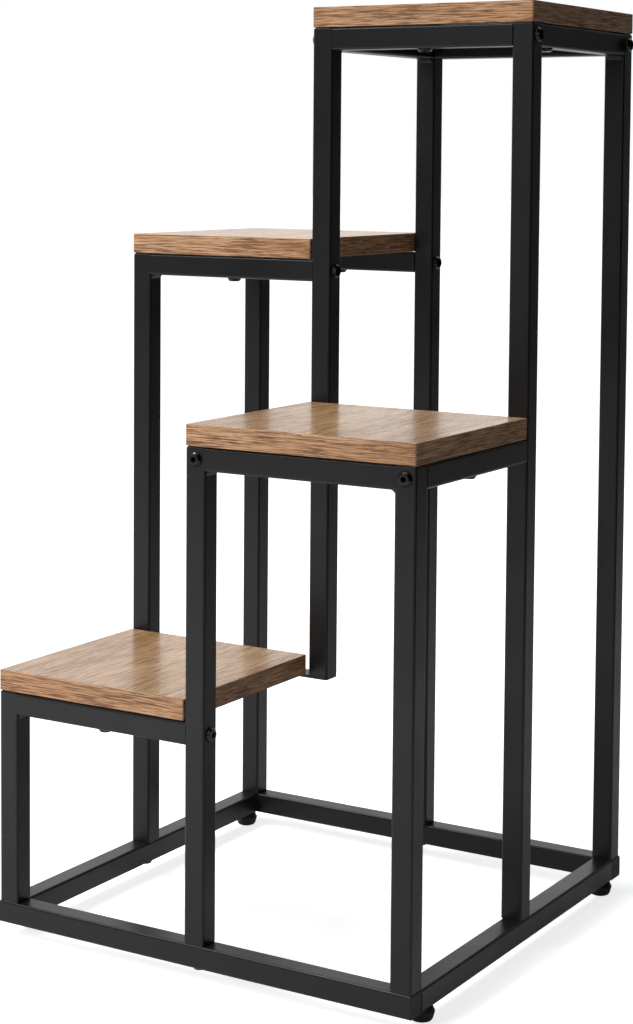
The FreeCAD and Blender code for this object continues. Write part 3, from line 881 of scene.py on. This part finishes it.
class STAND_OT_feet(bpy.types.Operator):
    """Draw the levelling feet: a turned pad and a threaded stud each"""

    bl_idname = "stand.feet"
    bl_label = "Levelling feet"

    def execute(self, context):
        sizes = context.scene.stand_fasteners
        for foot in FEET:
            self.draw_pad(foot, sizes)
            self.draw_stud(foot, sizes)
        return {"FINISHED"}

    def draw_pad(self, foot, sizes):
        """Flared pad with a soft profile."""
        node = foot + "_pad"
        low, high = corners(node)
        wide, tall = (high.x - low.x) / 2, high.z - low.z
        side = [(wide * out, tall * up) for out, up in PAD_SHARES]
        bm = bmesh.new()
        turned(bm, [(0.0, 0.0)] + side + [(0.0, tall)], sizes.around)
        bmesh.ops.translate(bm, vec=(low.x + wide, low.y + wide, low.z), verts=bm.verts[:])
        piece_from(bm, "pad_" + foot, "black_plastic", foot, node)

    def draw_stud(self, foot, sizes):
        """Stud with a thread: one ridge wound past both ends, then cut flat there."""
        node = foot + "_stud"
        low, high = corners(node)
        pitch, count = sizes.thread_pitch, sizes.thread_around
        root = sizes.shank_radius - sizes.thread_depth
        turns = math.ceil((high.z - low.z) / pitch) + SPARE_TURNS
        ridge = [(root + sizes.thread_depth * out, low.z + pitch * (up - LEAD_TURNS))
                 for out, up in RIDGE_SHARES]
        bm = bmesh.new()
        bmesh.ops.spin(bm, geom=chain(bm, ridge), axis=UP_AXIS, dvec=(0.0, 0.0, pitch / count),
                       angle=math.tau * turns, steps=count * turns)
        bmesh.ops.remove_doubles(bm, verts=bm.verts[:], dist=WELD)
        for height, is_lower in ((low.z, True), (high.z, False)):
            everything = bm.verts[:] + bm.edges[:] + bm.faces[:]
            bmesh.ops.bisect_plane(bm, geom=everything, dist=WELD, plane_co=(0.0, 0.0, height),
                                   plane_no=UP_AXIS, clear_inner=is_lower, clear_outer=not is_lower)
        bmesh.ops.holes_fill(bm, edges=open_edges(bm), sides=0)
        centre = (low + high) / 2
        bmesh.ops.translate(bm, vec=(centre.x, centre.y, 0.0), verts=bm.verts[:])
        piece_from(bm, "stud_" + foot, "plated_steel", foot, node, THREAD_LIMIT)


class STAND_OT_plain(bpy.types.Operator):
    """Give the moulded plugs, weld beads and inner nuts their finishes"""

    bl_idname = "stand.plain"
    bl_label = "Plugs, welds and inner nuts"

    def execute(self, context):
        self.dress(RAIL_PLUGS, "black_plastic")
        self.dress("weld_beads", "black_frame")
        for node in INNER_NODES:
            self.dress(node, "plated_steel")
        return {"FINISHED"}

    def dress(self, node, slot):
        """Put a finish on a CAD node's own slots."""
        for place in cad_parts[node].material_slots:
            place.material = finish(slot)


class STAND_OT_stage(bpy.types.Operator):
    """Set the floor, lights, surroundings and camera"""

    bl_idname = "stand.stage"
    bl_label = "Stage"

    def execute(self, context):
        stage = context.scene.stand_stage
        self.floor(stage)
        self.screens(stage)
        self.surroundings(stage)
        powers = {"Key": stage.key_power, "Low fill": stage.fill_power, "Top": stage.top_power}
        for name, power in powers.items():
            self.light(name, power, **LIGHTS[name])
        self.camera(stage)
        context.scene.view_settings.view_transform = "Standard"
        return {"FINISHED"}

    def stage_piece(self, bm, name, material):
        """Object of the stage, which isn't part of the stand."""
        mesh = bpy.data.meshes.new(name)
        bm.to_mesh(mesh)
        bm.free()
        mesh.materials.append(material)
        piece = bpy.data.objects.new(name, mesh)
        bpy.context.scene.collection.objects.link(piece)
        return piece

    def floor(self, stage):
        """Pale floor that keeps the stand's shadow and glows to the camera and, in part, to gloss."""
        material, tree, shader = new_material("Stage floor", FLOOR_SPECULAR)
        set_inputs(shader, Base_Color=stage.floor_colour, Roughness=FLOOR_ROUGHNESS,
                   Emission_Color=WHITE)
        links = tree.links
        place = add_node(tree, "ShaderNodeTexCoord", (-900, 200))
        away = add_node(tree, "ShaderNodeVectorMath", (-700, 200), operation="LENGTH")
        apart = add_node(tree, "ShaderNodeSeparateXYZ", (-700, 700))
        path = add_node(tree, "ShaderNodeLightPath", (-500, 450))
        links.new(place.outputs["Object"], away.inputs["Vector"])
        links.new(place.outputs["Object"], apart.inputs["Vector"])
        level = ranged(tree, (-500, 200), away.outputs["Value"], GLOW_RADII, GLOW_LEVELS)
        near = ranged(tree, (-500, 700), apart.outputs["X"], SHEEN_SPAN, SHEEN_LEVELS)
        far = ranged(tree, (-500, 950), away.outputs["Value"], FAR_RADII, FAR_LEVELS)
        share = combined(tree, (-300, 700), "MAXIMUM", near, far)
        sheen = combined(tree, (-300, 450), "MULTIPLY", path.outputs["Is Glossy Ray"], share)
        seen = combined(tree, (-150, 300), "MAXIMUM", path.outputs["Is Camera Ray"], sheen)
        glow = combined(tree, (0, 200), "MULTIPLY", seen, level)
        links.new(glow, shader.inputs["Emission Strength"])
        bm = bmesh.new()
        bmesh.ops.create_grid(bm, x_segments=1, y_segments=1, size=FLOOR_REACH)
        self.stage_piece(bm, "Floor", material)

    def screens(self, stage):
        """Dark screens hidden from the camera: one on the right, one in front that rises on its left."""
        material, _, shader = new_material("Stage screen", 0.0)
        set_inputs(shader, Base_Color=stage.screen_colour, Roughness=1.0)
        for name, outline in SCREENS.items():
            bm = bmesh.new()
            bm.faces.new([bm.verts.new(corner) for corner in outline])
            screen = self.stage_piece(bm, name, material)
            screen.visible_camera = False

    def surroundings(self, stage):
        """White to the camera and in reflections, dimmer as diffuse light."""
        world = bpy.data.worlds.new("Studio")
        bpy.context.scene.world = world
        world.use_nodes = True
        tree = world.node_tree
        tree.nodes.clear()
        path = add_node(tree, "ShaderNodeLightPath", (-700, 0)).outputs
        seen = combined(tree, (-450, 100), "MAXIMUM", path["Is Camera Ray"], path["Is Glossy Ray"])
        clear = combined(tree, (-250, 100), "MAXIMUM", seen, path["Is Transmission Ray"])
        level = ranged(tree, (-50, 100), clear, (0.0, 1.0), (stage.ambient, 1.0))
        back = add_node(tree, "ShaderNodeBackground", (200, 0))
        set_inputs(back, Color=WHITE)
        output = add_node(tree, "ShaderNodeOutputWorld", (420, 0))
        tree.links.new(level, back.inputs["Strength"])
        tree.links.new(back.outputs["Background"], output.inputs["Surface"])

    def light(self, name, power, place, target, size, reflected):
        """Square softbox that looks at a point."""
        lamp = bpy.data.lights.new(name, "AREA")
        lamp.shape = "SQUARE"
        lamp.size = size
        lamp.energy = power
        holder = bpy.data.objects.new(name, lamp)
        bpy.context.scene.collection.objects.link(holder)
        holder.visible_camera = False
        holder.visible_glossy = reflected
        holder.location = place
        holder.rotation_euler = (Vector(target) - Vector(place)).to_track_quat("-Z", "Y").to_euler()

    def camera(self, stage):
        """Camera at the photograph's place and angle."""
        yaw, pitch, roll = stage.camera_yaw, stage.camera_pitch, stage.camera_roll
        ahead = Vector((-math.sin(yaw) * math.cos(pitch), math.cos(yaw) * math.cos(pitch),
                        -math.sin(pitch)))
        right = Vector((math.cos(yaw), math.sin(yaw), 0.0))
        up = right.cross(ahead)
        turned_right = right * math.cos(roll) + up * math.sin(roll)
        turned_up = up * math.cos(roll) - right * math.sin(roll)
        turn = Matrix((turned_right, turned_up, -ahead)).transposed()
        lens = bpy.data.cameras.new("Camera")
        lens.sensor_fit = "VERTICAL"
        lens.sensor_height = SENSOR_HEIGHT
        lens.lens = stage.focal * lens.sensor_height
        lens.shift_x, lens.shift_y = stage.shift
        holder = bpy.data.objects.new("Camera", lens)
        bpy.context.scene.collection.objects.link(holder)
        holder.matrix_world = Matrix.Translation(stage.camera_place) @ turn.to_4x4()
        bpy.context.scene.camera = holder


class STAND_PT_panel(bpy.types.Panel):
    """Settings and steps of the plant stand"""

    bl_idname = "STAND_PT_panel"
    bl_label = "Plant Stand"
    bl_space_type = "VIEW_3D"
    bl_region_type = "UI"
    bl_category = "Plant Stand"

    def draw(self, context):
        for name, group in GROUPS:
            box = self.layout.box()
            for key in group.__annotations__:
                box.prop(getattr(context.scene, name), key)
        for step in STEPS:
            self.layout.operator(step.bl_idname)


GROUPS = (
    ("stand_frame", StandFrameSettings),
    ("stand_boards", StandBoardSettings),
    ("stand_fasteners", StandFastenerSettings),
    ("stand_finish", StandFinishSettings),
    ("stand_stage", StandStageSettings),
)
STEPS = (
    STAND_OT_tubes, STAND_OT_caps, STAND_OT_plate, STAND_OT_boards,
    STAND_OT_fasteners, STAND_OT_feet, STAND_OT_plain, STAND_OT_stage,
)


def register():
    """Add the classes and the scene's settings."""
    for name, group in GROUPS:
        bpy.utils.register_class(group)
        setattr(bpy.types.Scene, name, bpy.props.PointerProperty(type=group))
    for step in STEPS:
        bpy.utils.register_class(step)
    bpy.utils.register_class(STAND_PT_panel)


def unregister():
    """Take the classes and settings away again."""
    bpy.utils.unregister_class(STAND_PT_panel)
    for step in reversed(STEPS):
        bpy.utils.unregister_class(step)
    for name, group in reversed(GROUPS):
        delattr(bpy.types.Scene, name)
        bpy.utils.unregister_class(group)


def main():
    """Build everything on the loaded frame."""
    register()
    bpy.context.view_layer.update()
    bpy.ops.stand.tubes()
    bpy.ops.stand.caps()
    bpy.ops.stand.plate()
    bpy.ops.stand.boards()
    bpy.ops.stand.fasteners()
    bpy.ops.stand.feet()
    bpy.ops.stand.plain()
    bpy.ops.stand.stage()


if __name__ == "__main__":
    main()
